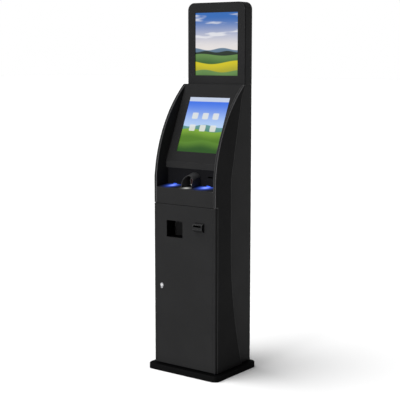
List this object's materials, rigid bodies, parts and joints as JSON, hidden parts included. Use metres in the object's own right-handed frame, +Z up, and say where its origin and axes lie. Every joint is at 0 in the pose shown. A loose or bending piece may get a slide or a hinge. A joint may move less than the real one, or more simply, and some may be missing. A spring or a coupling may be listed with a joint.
{
  "type": "payment kiosk",
  "caption": "Free-standing indoor self-service payment kiosk with a tilted touch screen, an upper display, a lockable front door, a receipt pocket and a note reader.",
  "frame": {"origin": "middle of the base plate's underside, on the floor", "axes": "+Z up, the front door and both screens face -Y, +X to the right seen along +Y"},
  "size_m": [0.464, 0.382, 1.9802],
  "materials": {
    "body_paint": "fine satin powder coat",
    "cheek_paint": "fine satin powder coat",
    "column_paint": "fine satin powder coat",
    "bezel_paint": "fine satin powder coat",
    "base_paint": "fine satin powder coat",
    "black_plastic": "moulded, fine texture",
    "screen_glass": "clear, polished",
    "display_metal": "brushed",
    "zinc_steel": "zinc plated",
    "bright_steel": "bright plated",
    "bronze_bush": "sintered",
    "blue_lens": "clear blue, lit",
    "white_lens": "opal, lit",
    "dark_window": "dark red tint",
    "white_paper": "thermal paper"
  },
  "bodies": {
    "cabinet": {"back_panel": "column_paint", "back_screws": "bright_steel", "base_plate": "base_paint", "card_module": "black_plastic", "centre_hood": "body_paint", "cheek_left": "cheek_paint", "cheek_right": "cheek_paint", "column_left": "column_paint", "column_right": "column_paint", "column_top": "column_paint", "computer": "zinc_steel", "cover_pin": "bright_steel", "deck_plate": "body_paint", "desk": "body_paint", "display_bezel": "bezel_paint", "display_bracket": "zinc_steel", "display_cover": "column_paint", "display_glass": "screen_glass", "display_housing": "column_paint", "display_panel": "display_metal", "door_pins": "bright_steel", "fan_housing": "black_plastic", "front_fascia": "body_paint", "lamp_centre": "white_lens", "lock_strike": "zinc_steel", "mains_inlet": "black_plastic", "note_validator": "black_plastic", "paper_holders": "zinc_steel", "paper_spindle": "bright_steel", "power_supply": "zinc_steel", "printer_shelf": "zinc_steel", "receipt_printer": "black_plastic", "recess_wall": "body_paint", "scanner_module": "black_plastic", "scanner_window": "dark_window", "screen_chin": "body_paint", "service_shelf": "zinc_steel", "side_lamps": "blue_lens", "switch_body": "black_plastic", "touch_bezel": "bezel_paint", "touch_brackets": "zinc_steel", "touch_display": "display_metal", "touch_glass": "screen_glass", "validator_frame_left": "zinc_steel", "validator_frame_right": "zinc_steel"},
    "front_door": {"door_panel": "body_paint", "door_bushes": "bronze_bush", "receipt_pocket": "black_plastic", "reader_bezel": "black_plastic", "reader_throat": "black_plastic", "lock_housing": "bright_steel"},
    "door_lock": {"lock_plug": "bright_steel", "lock_cam": "bright_steel"},
    "cash_cassette": {"cash_box": "zinc_steel", "cash_handle": "bright_steel"},
    "printer_lid": {"printer_cover": "black_plastic"},
    "paper": {"paper_roll": "white_paper"},
    "fan": {"fan_rotor": "black_plastic"},
    "rocker": {"power_rocker": "black_plastic"}
  },
  "joints": [
    {"name": "door_hinge", "type": "hinge", "parent": "cabinet", "child": "front_door", "pos_m": [0.195, -0.151, 0], "axis": [0, 0, 1], "range_deg": [0, 105]},
    {"name": "lock_turn", "type": "hinge", "parent": "front_door", "child": "door_lock", "pos_m": [-0.152, -0.159, 0.471], "axis": [0, 1, 0], "range_deg": [0, 90]},
    {"name": "cash_slide", "type": "slide", "parent": "cabinet", "child": "cash_cassette", "axis": [0, -1, 0], "range_m": [0, 0.06]},
    {"name": "printer_lid_hinge", "type": "hinge", "parent": "cabinet", "child": "printer_lid", "pos_m": [-0.0655, 0.008, 0.8375], "axis": [-1, 0, 0], "range_deg": [0, 60]},
    {"name": "paper_spin", "type": "hinge", "parent": "cabinet", "child": "paper", "pos_m": [-0.0655, 0.069, 0.774], "axis": [1, 0, 0], "continuous": true},
    {"name": "fan_spin", "type": "hinge", "parent": "cabinet", "child": "fan", "pos_m": [0, 0.163, 1.3], "axis": [0, 1, 0], "continuous": true},
    {"name": "power_switch", "type": "hinge", "parent": "cabinet", "child": "rocker", "pos_m": [0, 0.184, 0.11], "axis": [-1, 0, 0], "range_deg": [0, 14]}
  ]
}
